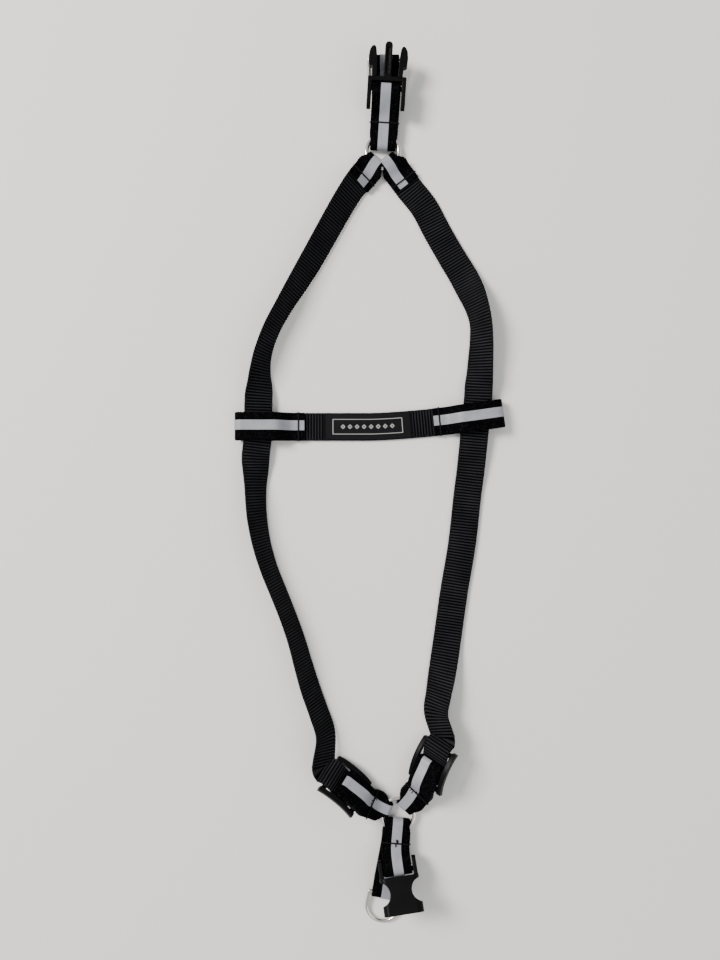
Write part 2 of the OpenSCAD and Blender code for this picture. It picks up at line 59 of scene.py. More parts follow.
# Rings, buckle and slides, in millimetres
ring = {"upper": (7.7, 190.6, 0.0), "lower": (16.3, -185.0, 0.0), "wire": 2.4}
meetLine = {"upper": 268.9, "lower": 102}    # in degrees, where two loops meet inside a ring
ringZ = tape["thick"] + webbing["thick"] + 0.2 + ring["wire"] / 2
foldR = ringZ - low
buckle = {"bar": 1.2, "plugAt": 31.6, "plugZ": 10.8, "socketAt": 28.2, "socketZ": 9.6}
barFold = buckle["bar"] + 0.15 + halfThick
dee = {"wire": 2.1, "upperAt": 50.0, "upperLow": 4.9, "lowerAt": 45.6}
deeFold = dee["wire"] / 2 + 0.15 + halfThick
slide = {"left": 35.5, "right": 36.5, "height": 3.7, "span": 10.0, "bow": 2.2, "exit": 15.5,
         "wrap": 1.85}
tab = {"hinge": 12.5, "bend": 1.6, "tack": 15.0, "upperEdge": 0.7, "lowerEdge": 1.8}


def mix(a, b, t):
    return a + (b - a) * t


def ease(a, b, x):
    t = min(1.0, max(0.0, (x - a) / (b - a)))
    return t * t * (3 - 2 * t)


def unit(v):
    return v / np.linalg.norm(v)


# How a strap leaves a ring: heading, roll of the outer edge and lift, each with its stretch
def lay(centre, heading, turn=(20, 30), roll=0, rollOver=(8, 28), lift=0, liftOver=(20, 30), hand=1):
    return {"centre": np.array(ring[centre]), "heading": heading, "turn": turn, "roll": roll,
            "rollOver": rollOver, "lift": lift, "liftOver": liftOver, "hand": hand}


topLeft = lay("upper", (230.7, 230.7), roll=41, hand=-1)
topRight = lay("upper", (307.1, 307.1))
lowLeft = lay("lower", (157, 140), (14.5, 23.5), 38, (11.2, 23.5), 3.4, (15, 23.5))
lowRight = lay("lower", (48, 68), (15.5, 24.5), 38, (11.2, 24.5), 3.4, (15, 24.5), hand=-1)
upperFront = lay("upper", (86.5, 86.5), (13, 20))
upperBack = lay("upper", (86.5, 91), (25, 33))
lowerFront = lay("lower", (-95, -81), (14, 24))
lowerBack = lay("lower", (-95, -101), (13, 20))


def headingAt(q, s):
    a = math.radians(mix(*q["heading"], ease(*q["turn"], s)))
    return np.array([math.cos(a), math.sin(a), 0.0])


def rollAt(q, s):
    return math.radians(q["roll"] * ease(*q["rollOver"], s))


def liftAt(q, s):
    return q["lift"] * ease(*q["liftOver"], s)


def walk(q, s, steps=24):
    return q["centre"] + s / steps * sum(headingAt(q, s * (i + 0.5) / steps) for i in range(steps))


def outwardAt(q, s):
    h = headingAt(q, s)
    return q["hand"] * np.array([-h[1], h[0], 0.0])


def upAt(q, s):
    return np.array([0, 0, math.cos(rollAt(q, s))]) - outwardAt(q, s) * math.sin(rollAt(q, s))


def baseAt(q, s):
    return walk(q, s) + np.array([0, 0, halfWidth * math.sin(rollAt(q, s)) + liftAt(q, s)])


# A frame is one row: middle, side, normal, outer and inner half width
def layFrame(q, p, d, face, widths):
    s = p[0]
    t = unit(np.array(d, float))
    up = upAt(q, s)
    side = outwardAt(q, s) * math.cos(rollAt(q, s)) + np.array([0, 0, math.sin(rollAt(q, s))])
    normal = face * (up * t[0] - headingAt(q, s) * t[1])
    return np.concatenate([baseAt(q, s) + up * p[1], side, normal, widths])


def layFrames(q, points, face, widthOf):
    last = len(points) - 1
    rows = []
    for i, p in enumerate(points):
        ahead, behind = points[min(i + 1, last)], points[max(i - 1, 0)]
        rows.append(layFrame(q, p, (ahead[0] - behind[0], ahead[1] - behind[1]), face, widthOf(p[0])))
    return np.array(rows)


# Side views as (distance, height): eased runs between stops, and round folds
def eased(stops, gap=1.6):
    points = []
    for a, b in zip(stops, stops[1:]):
        n = max(1, math.ceil(abs(b[0] - a[0]) / gap))
        points += [(mix(a[0], b[0], k / n), mix(a[1], b[1], ease(0, 1, k / n))) for k in range(n)]
    return points


def fold(c, r, start, end, n=8):
    turns = [math.radians(mix(start, end, k / n)) for k in range(n + 1)]
    return [(c[0] + r * math.cos(a), c[1] + r * math.sin(a)) for a in turns]


# Half widths: the loops narrow inside a ring and meet along one line
def loopWidth(q, line, outer, inner):
    b = np.array([math.cos(math.radians(line)), math.sin(math.radians(line))])

    def widthOf(s):
        c, o = walk(q, s) - q["centre"], outwardAt(q, s)
        meet = abs((c[0] * b[1] - c[1] * b[0]) / (o[0] * b[1] - o[1] * b[0])) - 0.35
        grow = ease(6, 12, s)
        return [mix(outer, halfWidth, grow), min(mix(inner, halfWidth, grow), meet)]
    return widthOf


def tabWidth(atRing, atDee, deeAt):
    def widthOf(s):
        w = mix(atRing, halfWidth, ease(5, 10, s)) - (halfWidth - atDee) * ease(deeAt - 8, deeAt - 3, s)
        return [w, w]
    return widthOf


def fullWidth(s):
    return [halfWidth, halfWidth]


# Long straps between their loops: x, y, roll of the outer edge, lift
leftRun = [
    (-16.6, 157.8, 42, 0), (-32, 130.2, 46, 0), (-39.5, 117.4, 52, 0), (-48, 103.3, 62, 0),
    (-55.4, 89.6, 64, 0), (-60.1, 76.5, 61, 0), (-61.8, 66, 51, 0), (-62.1, 58, 34, 0.6),
    (-62.6, 50, 13, 2.1), (-63, 30, 12, 2.1), (-64.2, 18, 13, 2.1), (-64.3, 10, 32, 0.8),
    (-64.4, 2, 46, 0), (-64.2, -8, 52, 0), (-63.4, -18, 55, 0), (-61, -31.4, 59, 0),
    (-56.9, -45.2, 62, 0), (-51.8, -58, 63, 0), (-46.3, -71.8, 63, 0), (-41.5, -85.5, 61, 0),
    (-37.9, -98.3, 58, 0), (-33.8, -112.1, 55, 0), (-29, -125.8, 55, 0), (-25, -139, 51, 0.6)]
rightRun = [
    (31.4, 159.7, 0, 0), (38.9, 145.7, 0, 0), (46.9, 131.7, 2, 0), (54.4, 118.8, 10, 0),
    (60.3, 105, 40, 0), (63.2, 94, 49, 0), (63.7, 83, 44, 0), (63.3, 73, 37, 0),
    (62.7, 64, 29, 0.8), (62, 57, 13, 2), (61.6, 50, 11, 2.1), (60.3, 38, 8, 2.1),
    (59, 24, 5, 2.1), (57.6, 9, 3, 0.8), (55.9, -5, 2, 0), (52.9, -31.9, 2, 0),
    (48.4, -58.9, 2, 0), (44.4, -86.8, 4, 0), (41.9, -103, 17, 0), (39.6, -116, 33, 0),
    (38.1, -127, 38, 0.6)]


def station(q, s):
    p = walk(q, s)
    return (p[0], p[1], math.degrees(rollAt(q, s)), liftAt(q, s))


def runFrames(stations, hand, n=8):
    rows = []
    v = np.array(stations, float)
    for i in range(1, len(v) - 2):
        a, b, c, d = v[i - 1:i + 3]
        square, cube = 2 * a - 5 * b + 4 * c - d, 3 * b - a - 3 * c + d
        for t in [k / n for k in range(n)]:
            at = (2 * b + (c - a) * t + square * t * t + cube * t ** 3) / 2
            slope = ((c - a) + 2 * square * t + 3 * cube * t * t) / 2
            direction = unit(np.array([slope[0], slope[1], 0.0]))
            out = hand * np.array([-direction[1], direction[0], 0.0])
            roll, lift = math.radians(max(0, at[2])), max(0, at[3])
            up = np.array([0, 0, math.cos(roll)]) - out * math.sin(roll)
            middle = np.array([at[0], at[1], halfWidth * math.sin(roll) + lift]) + up * low
            side = out * math.cos(roll) + np.array([0, 0, math.sin(roll)])
            rows.append(np.concatenate([middle, side, up, [halfWidth, halfWidth]]))
    return np.array(rows)


# Cut end on top, round the ring, out below
def topLoop(edge):
    turn = edge + foldR + halfThick
    return (eased([(23.2, low + layer), (15.5, low + layer), (9, ringZ + foldR), (turn, ringZ + foldR)])
            + fold((turn, ringZ), foldR, 90, 270) + eased([(turn + 0.6, low), (24, low)]))


# Through the slide, round the ring, back over the slide's centre bar, and below to the tack
def weaveIn(c):
    end = slide["height"] - slide["bow"]
    return eased([(c + slide["exit"], low), (c + slide["span"] + 1.7, end + 1.95),
                  (c + slide["span"] - 1, end + 1.95), (c, slide["height"] - 3.4),
                  (c - slide["span"], end + 1.85), (17.5, low), (8.5, low)])


def ringTurn(edge):
    return fold((edge + foldR + halfThick, ringZ), foldR, 270, 90)


def weaveBack(c, edge):
    end = slide["height"] - slide["bow"]
    top = slide["height"] + slide["wrap"]
    return (eased([(edge + foldR + halfThick + 0.6, ringZ + foldR), (9, ringZ + foldR),
                   (16.5, low + 2 * layer + 0.1), (c - slide["span"], end + 4.9), (c + 0.5, top)])
            + fold((c + 0.5, slide["height"]), slide["wrap"], 90, -90))


def tail(c):
    end = slide["height"] - slide["bow"]
    return eased([(c, slide["height"] - slide["wrap"]), (c - slide["span"], end + 3.35),
                  (17.5, low + layer + 0.05), (13.5, low + layer + 0.05)])


def longStrap(side, top, bottom, run, slideAt, edges, widths, hand):
    upperW = loopWidth(top, meetLine["upper"], *widths["top"])
    lowerW = loopWidth(bottom, meetLine["lower"], *widths["bottom"])
    stations = ([station(top, 20), station(top, 26)] + run
                + [station(bottom, slideAt + slide["exit"]), station(bottom, slideAt + 6)])
    parts = {
        "top": layFrames(top, topLoop(edges[0]), 1, upperW),
        "run": runFrames(stations, hand),
        "in": layFrames(bottom, weaveIn(slideAt) + ringTurn(edges[1]), -1, lowerW),
        "back": layFrames(bottom, weaveBack(slideAt, edges[1]), -1, lowerW),
        "tail": layFrames(bottom, tail(slideAt), -1, lowerW)}
    print("route of the", side, "strap laid out")
    return parts


leftParts = longStrap("left", topLeft, lowLeft, leftRun, slide["left"], (4.4, 4.6),
                      {"top": (5.4, 5), "bottom": (3, 4.9)}, -1)
rightParts = longStrap("right", topRight, lowRight, rightRun, slide["right"], (3.4, 4.2),
                       {"top": (4.4, 5), "bottom": (5.2, 5)}, 1)


# A tab is one strip: front layer through the buckle bar, over the ring, back layer to the D-ring
def tabFrames(front, back, edge, widthOf, bar, deeAt, deeLow, rise):
    turn = edge + foldR + halfThick
    barAt, barZ = bar
    out = (eased([(tab["tack"] - 1.5, low + 2 * layer), (tab["tack"] + 1.5, low + 2 * layer),
                  (barAt, barZ - barFold)])
           + fold(bar, barFold, -90, 90)
           + eased([(barAt - 0.8, barZ + barFold), (tab["tack"] + 1.5, low + 3 * layer),
                    (tab["hinge"] + 0.3, low + 3 * layer)]))
    over = (eased([(tab["hinge"] - 0.3, low + 3 * layer), (turn + 0.5, ringZ + foldR)])
            + fold((turn, ringZ), foldR, 90, 270)
            + eased([(turn + 0.6, low), (tab["hinge"] - 0.3, low)]))
    under = (eased([(tab["hinge"] + 0.3, low), (tab["tack"] + 3, low), (rise, deeLow), (deeAt, deeLow)])
             + fold((deeAt, deeLow + deeFold), deeFold, -90, 90)
             + eased([(deeAt - 1.5, deeLow + 2 * deeFold), (deeAt - 6, deeLow + layer + 0.1),
                      (rise - 1.5, deeLow + layer + 0.1), (tab["tack"] + 1, low + layer),
                      (tab["tack"] - 1.5, low + layer)]))
    return {"out": layFrames(front, out, 1, fullWidth), "over": layFrames(front, over, 1, widthOf),
            "under": layFrames(back, under, 1, widthOf)}


upperTab = tabFrames(upperFront, upperBack, tab["upperEdge"], tabWidth(7.4, 7.8, dee["upperAt"]),
                     (buckle["plugAt"], buckle["plugZ"]), dee["upperAt"], dee["upperLow"], 34)
lowerTab = tabFrames(lowerFront, lowerBack, tab["lowerEdge"], tabWidth(7.2, 7.8, dee["lowerAt"]),
                     (buckle["socketAt"], buckle["socketZ"]), dee["lowerAt"], low, 30)

# Cross strap: one strip, looped back round each long strap
cross = {"end": 76.1, "y": 34.8, "rise": 7.6, "tack": 40.0, "cut": 36.7, "top": 7.9}


def crossMiddle(x):
    return cross["y"] + cross["rise"] * (max(0, x) / cross["end"]) ** 1.5


def crossFrame(p, d):
    along = unit(np.array([1, crossMiddle(p[0] + 0.5) - crossMiddle(p[0] - 0.5), 0.0]))
    t = unit(np.array(d, float))
    return np.concatenate([[p[0], crossMiddle(p[0]), p[1]], [-along[1], along[0], 0],
                           np.array([0, 0, t[0]]) - along * t[1], [halfWidth, halfWidth]])


crossR = (cross["top"] - low) / 2
crossTurn = cross["end"] - crossR - halfThick - tape["thick"]
crossHalf = (eased([(cross["cut"], low + layer), (cross["tack"] + 3, low + layer),
                    (cross["tack"] + 13.5, cross["top"]), (crossTurn, cross["top"])], 1.8)
             + fold((crossTurn, low + crossR), crossR, 90, -90, 10))
crossLine = eased([(crossTurn - 1, low), (1 - crossTurn, low)], 6)
crossPoints = [(-x, z) for x, z in crossHalf] + crossLine[::-1] + crossHalf[::-1]
crossFrames = np.array([
    crossFrame(p, np.subtract(crossPoints[min(i + 1, len(crossPoints) - 1)], crossPoints[max(i - 1, 0)]))
    for i, p in enumerate(crossPoints)])


# Materials. On a strip, u runs along it and v across it, in mm, and this is added to v on the tape face
underV = 40.0


def linear(code):
    channels = [int(code[i:i + 2], 16) / 255 for i in (1, 3, 5)]
    return [c / 12.92 if c <= 0.04045 else ((c + 0.055) / 1.055) ** 2.4 for c in channels] + [1.0]


def addNode(tree, kind, settings=None, links=None):
    node = tree.nodes.new(kind)
    for key, value in (settings or {}).items():
        if hasattr(node, key):
            setattr(node, key, value)
        else:
            node.inputs[key].default_value = value
    for key, source in (links or {}).items():
        tree.links.new(source, node.inputs[key])
    return node


def newMaterial(name, facts):
    material = bpy.data.materials.new(name)
    material.use_nodes = True
    tree = material.node_tree
    shader = tree.nodes["Principled BSDF"]
    for key, value in facts.items():
        shader.inputs[key].default_value = value
    return material, tree, shader


def calculator(tree):
    def calc(operation, a, b=None, c=None, clamp=False):
        node = addNode(tree, "ShaderNodeMath", {"operation": operation, "use_clamp": clamp})
        for slot, value in enumerate((a, b, c)):
            if isinstance(value, (int, float)):
                node.inputs[slot].default_value = value
            elif value is not None:
                tree.links.new(value, node.inputs[slot])
        return node.outputs[0]
    return calc


# Filament nylon 6.6, heavy rib weave: black yarn, with a painted grey highlight along the crown of each rib;
# the tape face is a finer weave with painted glints as pale speckle
def ribbedNylon():
    facts = {"Base Color": linear("#0a0a0b"), "Roughness": 0.55, "IOR": 1.53, "Specular IOR Level": 0.02}
    material, tree, shader = newMaterial("ribbed nylon webbing", facts)
    calc = calculator(tree)
    uv = addNode(tree, "ShaderNodeTexCoord").outputs["UV"]
    parts = addNode(tree, "ShaderNodeSeparateXYZ", links={0: uv})
    u, v = parts.outputs["X"], parts.outputs["Y"]
    # rib crown, 0 in the valley and 1 on top
    turn = calc("MULTIPLY", u, math.pi / webbing["ribPitch"])
    crown = calc("ABSOLUTE", calc("SINE", turn))
    # warp yarns 0.8 mm apart, shifted half a pitch from rib to rib
    ribFloor = calc("FLOOR", calc("DIVIDE", u, webbing["ribPitch"]))
    shift = calc("MULTIPLY", ribFloor, math.pi / 2)
    yarn = calc("ABSOLUTE", calc("SINE", calc("MULTIPLY_ADD", v, math.pi / 0.8, shift)))
    # loose filaments, painted glints speckled over the tape face, and slow unevenness over 12 mm
    fuzzNoise = addNode(tree, "ShaderNodeTexNoise", {"Scale": 2.6, "Detail": 3.0, "Roughness": 0.65},
                        {"Vector": uv})
    fuzz = fuzzNoise.outputs["Fac"]
    speckle = addNode(tree, "ShaderNodeTexVoronoi", {"Scale": 1.25}, {"Vector": uv}).outputs["Distance"]
    driftNoise = addNode(tree, "ShaderNodeTexNoise", {"Scale": 0.08, "Detail": 2.0}, {"Vector": uv})
    drift = driftNoise.outputs["Fac"]
    tapeFace = calc("GREATER_THAN", v, underV / 2)
    # painted highlight: each rib crown drawn grey, as if lit, fading to black in the valleys
    crownHighlight = calc("MULTIPLY", calc("POWER", crown, 2.0), calc("MULTIPLY_ADD", yarn, 0.5, 0.5))
    # painted glints: pale dots on the tape face stand in for light catching the yarn
    dots = calc("SUBTRACT", 1.0, calc("MULTIPLY", speckle, 2.1), clamp=True)
    faceGlints = calc("MULTIPLY", calc("POWER", dots, 2.0), 1.5)
    highlightPattern = calc("MULTIPLY_ADD", calc("SUBTRACT", faceGlints, crownHighlight), tapeFace, crownHighlight)
    relief = calc("MULTIPLY_ADD", highlightPattern, 0.9, fuzz)
    bump = addNode(tree, "ShaderNodeBump", {"Strength": 0.8, "Distance": 0.00014}, {"Height": relief})
    tree.links.new(bump.outputs["Normal"], shader.inputs["Normal"])
    lit = calc("MULTIPLY", highlightPattern, calc("MULTIPLY_ADD", fuzz, 1.5, -0.2))
    shade = calc("MULTIPLY", lit, calc("ADD", drift, 0.6), clamp=True)
    # the ramp turns the painted highlights and glints grey over the near black yarn
    ramp = addNode(tree, "ShaderNodeValToRGB", links={"Fac": shade})
    ramp.color_ramp.elements[0].position = 0.12
    ramp.color_ramp.elements[0].color = linear("#010102")
    ramp.color_ramp.elements[1].position = 0.85
    ramp.color_ramp.elements[1].color = linear("#353538")
    tree.links.new(ramp.outputs["Color"], shader.inputs["Base Color"])
    gloss = addNode(tree, "ShaderNodeMapRange",
                    {"From Min": 0.3, "From Max": 0.7, "To Min": 0.6, "To Max": 0.8}, {"Value": fuzz})
    tree.links.new(gloss.outputs["Result"], shader.inputs["Roughness"])
    return material


# Glass-bead retroreflective tape on a cloth backing: cool mid grey, faint grain, soft gloss
def beadTape():
    facts = {"Base Color": linear("#8e8e94"), "Roughness": 0.45, "IOR": 1.5, "Sheen Weight": 0.1}
    material, tree, shader = newMaterial("glass bead tape", facts)
    uv = addNode(tree, "ShaderNodeTexCoord").outputs["UV"]
    # real beads are 0.05 mm; drawn at 0.3 mm so that the grain shows
    grain = addNode(tree, "ShaderNodeTexVoronoi", {"Scale": 3.3}, {"Vector": uv})
    drift = addNode(tree, "ShaderNodeTexNoise", {"Scale": 0.12, "Detail": 3.0}, {"Vector": uv})
    bump = addNode(tree, "ShaderNodeBump", {"Strength": 0.25, "Distance": 0.00003},
                   {"Height": grain.outputs["Distance"]})
    tree.links.new(bump.outputs["Normal"], shader.inputs["Normal"])
    ramp = addNode(tree, "ShaderNodeValToRGB", links={"Fac": drift.outputs["Fac"]})
    ramp.color_ramp.elements[0].position = 0.3
    ramp.color_ramp.elements[0].color = linear("#7f7f85")
    ramp.color_ramp.elements[1].position = 0.7
    ramp.color_ramp.elements[1].color = linear("#919197")
    tree.links.new(ramp.outputs["Color"], shader.inputs["Base Color"])
    return material


# Bonded polyester sewing thread, three-ply twist: near black, half matt
def bondedThread():
    facts = {"Base Color": linear("#0b0b0c"), "Roughness": 0.55, "IOR": 1.55, "Specular IOR Level": 0.08}
    material, tree, shader = newMaterial("bonded thread", facts)
    place = addNode(tree, "ShaderNodeTexCoord").outputs["Object"]
    twist = addNode(tree, "ShaderNodeTexWave",
                    {"bands_direction": "DIAGONAL", "Scale": 900.0, "Distortion": 0.6}, {"Vector": place})
    bump = addNode(tree, "ShaderNodeBump", {"Strength": 0.6, "Distance": 0.00008},
                   {"Height": twist.outputs["Fac"]})
    tree.links.new(bump.outputs["Normal"], shader.inputs["Normal"])
    return material


# Acetal, injection moulded with a fine spark finish: soft satin black, slightly uneven gloss
def satinAcetal(name, code, rough):
    facts = {"Base Color": linear(code), "Roughness": rough, "IOR": 1.48, "Specular IOR Level": 0.08}
    material, tree, shader = newMaterial(name, facts)
    place = addNode(tree, "ShaderNodeTexCoord").outputs["Object"]
    spark = addNode(tree, "ShaderNodeTexNoise", {"Scale": 2600.0, "Detail": 2.0}, {"Vector": place})
    flow = addNode(tree, "ShaderNodeTexNoise", {"Scale": 90.0, "Detail": 2.0}, {"Vector": place})
    bump = addNode(tree, "ShaderNodeBump", {"Strength": 0.25, "Distance": 0.00003},
                   {"Height": spark.outputs["Fac"]})
    tree.links.new(bump.outputs["Normal"], shader.inputs["Normal"])
    gloss = addNode(tree, "ShaderNodeMapRange",
                    {"From Min": 0.3, "From Max": 0.7, "To Min": rough - 0.06, "To Max": rough + 0.08},
                    {"Value": flow.outputs["Fac"]})
    tree.links.new(gloss.outputs["Result"], shader.inputs["Roughness"])
    return material


# Nickel plate on drawn steel wire: warm grey mirror with faint draw marks and handling haze
def nickelPlate():
    facts = {"Base Color": linear("#d9d4cb"), "Metallic": 1.0, "Roughness": 0.17}
    material, tree, shader = newMaterial("nickel plated wire", facts)
    place = addNode(tree, "ShaderNodeTexCoord").outputs["Object"]
    haze = addNode(tree, "ShaderNodeTexNoise", {"Scale": 260.0, "Detail": 4.0}, {"Vector": place})
    marks = addNode(tree, "ShaderNodeTexNoise", {"Scale": 1500.0, "Detail": 1.0}, {"Vector": place})
    gloss = addNode(tree, "ShaderNodeMapRange",
                    {"From Min": 0.35, "From Max": 0.7, "To Min": 0.12, "To Max": 0.3},
                    {"Value": haze.outputs["Fac"]})
    tree.links.new(gloss.outputs["Result"], shader.inputs["Roughness"])
    bump = addNode(tree, "ShaderNodeBump", {"Strength": 0.12, "Distance": 0.00002},
                   {"Height": marks.outputs["Fac"]})
    tree.links.new(bump.outputs["Normal"], shader.inputs["Normal"])
    return material


label = {"length": 48.0, "width": 14.4, "thick": 0.43, "middle": -0.8, "steps": 24, "thread": 0.34,
         "stitchOut": 0.95}


# Damask-woven polyester label: black satin ground, a pale woven frame line and a row of lozenges
def wovenLabel():
    facts = {"Base Color": linear("#0d0d0f"), "Roughness": 0.5, "IOR": 1.55, "Specular IOR Level": 0.08}
    material, tree, shader = newMaterial("woven label", facts)
    uv = addNode(tree, "ShaderNodeTexCoord").outputs["UV"]
    parts = addNode(tree, "ShaderNodeSeparateXYZ", links={0: uv})
    u, v = parts.outputs["X"], parts.outputs["Y"]
    calc = calculator(tree)
    acrossMid = calc("ABSOLUTE", v)
    alongMid = calc("ABSOLUTE", calc("SUBTRACT", u, label["length"] / 2))
    # lozenges 4 mm apart on the middle line, inside the middle 32 mm
    cell = calc("SUBTRACT", calc("FRACT", calc("DIVIDE", u, 4.0)), 0.5)
    reach = calc("ADD", calc("MULTIPLY", calc("ABSOLUTE", cell), 4.0), acrossMid)
    solid = calc("LESS_THAN", reach, 1.35)
    hollow = calc("GREATER_THAN", reach, 0.6)
    inside = calc("LESS_THAN", alongMid, 16.0)
    motif = calc("MULTIPLY", calc("MULTIPLY", solid, hollow), inside)
    # frame line 0.35 to 0.4 mm wide
    lineAcross = calc("MULTIPLY", calc("GREATER_THAN", acrossMid, 4.0),
                      calc("LESS_THAN", acrossMid, 4.35))
    lineAlong = calc("LESS_THAN", alongMid, 19.9)
    frameLine = calc("MULTIPLY", lineAcross, lineAlong)
    sideLine = calc("MULTIPLY", calc("MULTIPLY", calc("GREATER_THAN", alongMid, 19.5), lineAlong),
                     calc("LESS_THAN", acrossMid, 4.35))
    pale = calc("MAXIMUM", motif, calc("MAXIMUM", frameLine, sideLine))
    threads = addNode(tree, "ShaderNodeTexWave",
                      {"bands_direction": "Y", "Scale": 1.1, "Distortion": 0.4}, {"Vector": uv})
    weft = addNode(tree, "ShaderNodeTexWave",
                   {"bands_direction": "X", "Scale": 1.6, "Distortion": 0.4}, {"Vector": uv})
    woven = calc("MULTIPLY", threads.outputs["Fac"], weft.outputs["Fac"])
    raised = calc("ADD", woven, calc("MULTIPLY", pale, 0.8))
    paleShade = calc("MULTIPLY", pale, calc("ADD", calc("MULTIPLY", woven, 0.5), 0.6), clamp=True)
    ramp = addNode(tree, "ShaderNodeValToRGB", links={"Fac": paleShade})
    ramp.color_ramp.elements[0].color = linear("#0d0d0f")
    ramp.color_ramp.elements[1].color = linear("#b9b7b4")
    tree.links.new(ramp.outputs["Color"], shader.inputs["Base Color"])
    bump = addNode(tree, "ShaderNodeBump", {"Strength": 0.5, "Distance": 0.00005}, {"Height": raised})
    tree.links.new(bump.outputs["Normal"], shader.inputs["Normal"])
    return material


finish = {"webbing": ribbedNylon(), "tape": beadTape(), "thread": bondedThread(), "nickel": nickelPlate(),
          "plastic": satinAcetal("satin acetal", "#080809", 0.36), "label": wovenLabel()}
print("materials made")


# Strips along frames
def resample(rows, step):
    gaps = np.linalg.norm(np.diff(rows[:, :3], axis=0), axis=1)
    rows = rows[np.concatenate([[True], gaps > 0.001])]
    along = np.concatenate([[0], np.cumsum(np.linalg.norm(np.diff(rows[:, :3], axis=0), axis=1))])
    slopes = np.gradient(rows, along, axis=0)
    where = np.linspace(0, along[-1], max(2, round(along[-1] / step)) + 1)
    i = np.clip(np.searchsorted(along, where, side="right") - 1, 0, len(along) - 2)
    h = (along[i + 1] - along[i])[:, None]
    t = (where - along[i])[:, None] / h
    fine = ((1 + 2 * t) * (1 - t) ** 2 * rows[i] + t * (1 - t) ** 2 * h * slopes[i]
            + t * t * (3 - 2 * t) * rows[i + 1] + t * t * (t - 1) * h * slopes[i + 1])
    for k in (3, 6):
        fine[:, k:k + 3] /= np.linalg.norm(fine[:, k:k + 3], axis=1)[:, None]
    return fine, where


# Outline of a strip, from its outer edge over the ribbed face: share of half width, inset, height
def stripOutline(rounding):
    edge = [(0.0, 0.0), (0.07, 0.5), (0.22, 0.82), (0.55, 0.97), (1.1, 1.0)]
    edge = [(inset * rounding, height) for inset, height in edge]
    top = ([(1, inset, height) for inset, height in edge] + [(f, 0, 1) for f in (0.5, 0.0, -0.5)]
           + [(-1, inset, height) for inset, height in edge[::-1]])
    bottom = [(f, inset, -height) for f, inset, height in top[-2:0:-1]]
    return np.array(top + bottom), len(top) - 1


def strip(name, rows, step, thick, rounding, ribs=None):
    rows, where = resample(rows, step)
    outline, half = stripOutline(rounding)
    share, inset, height = outline.T
    count, points = len(rows), len(outline)
    valley = np.zeros(count)
    frayed = np.zeros(count)
    if ribs:
        draw = np.random.default_rng(len(rows))
        frayed = draw.uniform(-1, 1, count) * ribs["fray"]
        valley = 1 - np.abs(np.sin(math.pi * where / ribs["ribPitch"])) ** 0.7
    deep = np.where(height > 0, ribs["ribDeep"] if ribs else 0, ribs["ribFine"] if ribs else 0)
    edge = np.where(np.abs(share) == 1, ribs["selvage"] if ribs else 0, 0)
    limit = np.where(share[None, :] > 0, rows[:, 9:10], rows[:, 10:11])
    pulledIn = inset[None, :] + edge[None, :] * valley[:, None] + (edge[None, :] > 0) * frayed[:, None]
    across = share[None, :] * limit - np.sign(share)[None, :] * pulledIn
    rise = height[None, :] * thick / 2 * (1 - deep[None, :] * valley[:, None])
    co = (rows[:, None, 0:3] + rows[:, None, 3:6] * across[:, :, None]
          + rows[:, None, 6:9] * rise[:, :, None] - frameAt) * mm
    ringStart = np.arange(count - 1)[:, None] * points
    k = np.arange(points)[None, :]
    after = (k + 1) % points
    nextStart = ringStart + points
    faces = np.stack([ringStart + k, ringStart + after, nextStart + after, nextStart + k], -1)
    faces = faces.reshape(-1, 4).tolist()
    caps = [list(range(points)), list(range((count - 1) * points, count * points))[::-1]]
    mesh = bpy.data.meshes.new(name)
    mesh.from_pydata(co.reshape(-1, 3).tolist(), [], faces + caps)
    uv = mesh.uv_layers.new(name="weave")
    under = np.where(np.arange(points) >= half, underV, 0.0)
    vThis, vNext = across[:, k[0]] + under[None, :], across[:, after[0]] + under[None, :]
    u0, u1 = np.repeat(where[:-1, None], points, 1), np.repeat(where[1:, None], points, 1)
    quads = np.stack([np.stack([u0, vThis[:-1]], -1), np.stack([u0, vNext[:-1]], -1),
                      np.stack([u1, vNext[1:]], -1), np.stack([u1, vThis[1:]], -1)], 2).reshape(-1, 2)
    capUv = [np.stack([np.full(points, where[0]), across[0]], -1),
             np.stack([np.full(points, where[-1]), across[-1][::-1]], -1)]
    uv.data.foreach_set("uv", np.concatenate([quads] + capUv).astype(np.float32).ravel())
    piece = bpy.data.objects.new(name, mesh)
    bpy.context.scene.collection.objects.link(piece)
    outwards(piece)
    return piece


def choose(piece):
    bpy.ops.object.select_all(action="DESELECT")
    piece.select_set(True)
    bpy.context.view_layer.objects.active = piece


def outwards(piece):
    choose(piece)
    bpy.ops.object.mode_set(mode="EDIT")
    bpy.ops.mesh.select_all(action="SELECT")
    bpy.ops.mesh.normals_make_consistent(inside=False)
    bpy.ops.object.mode_set(mode="OBJECT")
    bpy.ops.object.shade_smooth_by_angle(angle=math.radians(50))


def keep(piece, body, material, slot, *replaced):
    piece.data.materials.clear()
    piece.data.materials.append(finish[material])
    if body:
        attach(piece, body)
    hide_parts(*replaced)


def webbingPiece(name, rows):
    return strip(name, rows, webbing["ribPitch"] / 4, webbing["thick"], 1.0, webbing)


def tapePiece(name, rows, shift):
    rows = rows.copy()
    rows[:, :3] -= rows[:, 6:9] * (halfThick + tape["thick"] / 2 + tape["lift"])
    rows[:, 9], rows[:, 10] = tape["width"] / 2 + shift, tape["width"] / 2 - shift
    return strip(name, rows, 0.8, tape["thick"], 0.15)


def joined(name, pieces):
    choose(pieces[0])
    for piece in pieces:
        piece.select_set(True)
    bpy.ops.object.join()
    pieces[0].name = name
    pieces[0].data.name = name
    return pieces[0]


# How many frames of a part carry tape: the last 14 before and round the lower ring, all but the
# last 5 back to the slide's centre bar, the last 15 of a tab's front layer, and the first 42 or 38
# of its back layer
taped = {"ring": 14, "bare": 5, "front": 15, "upper": 42, "lower": 38}

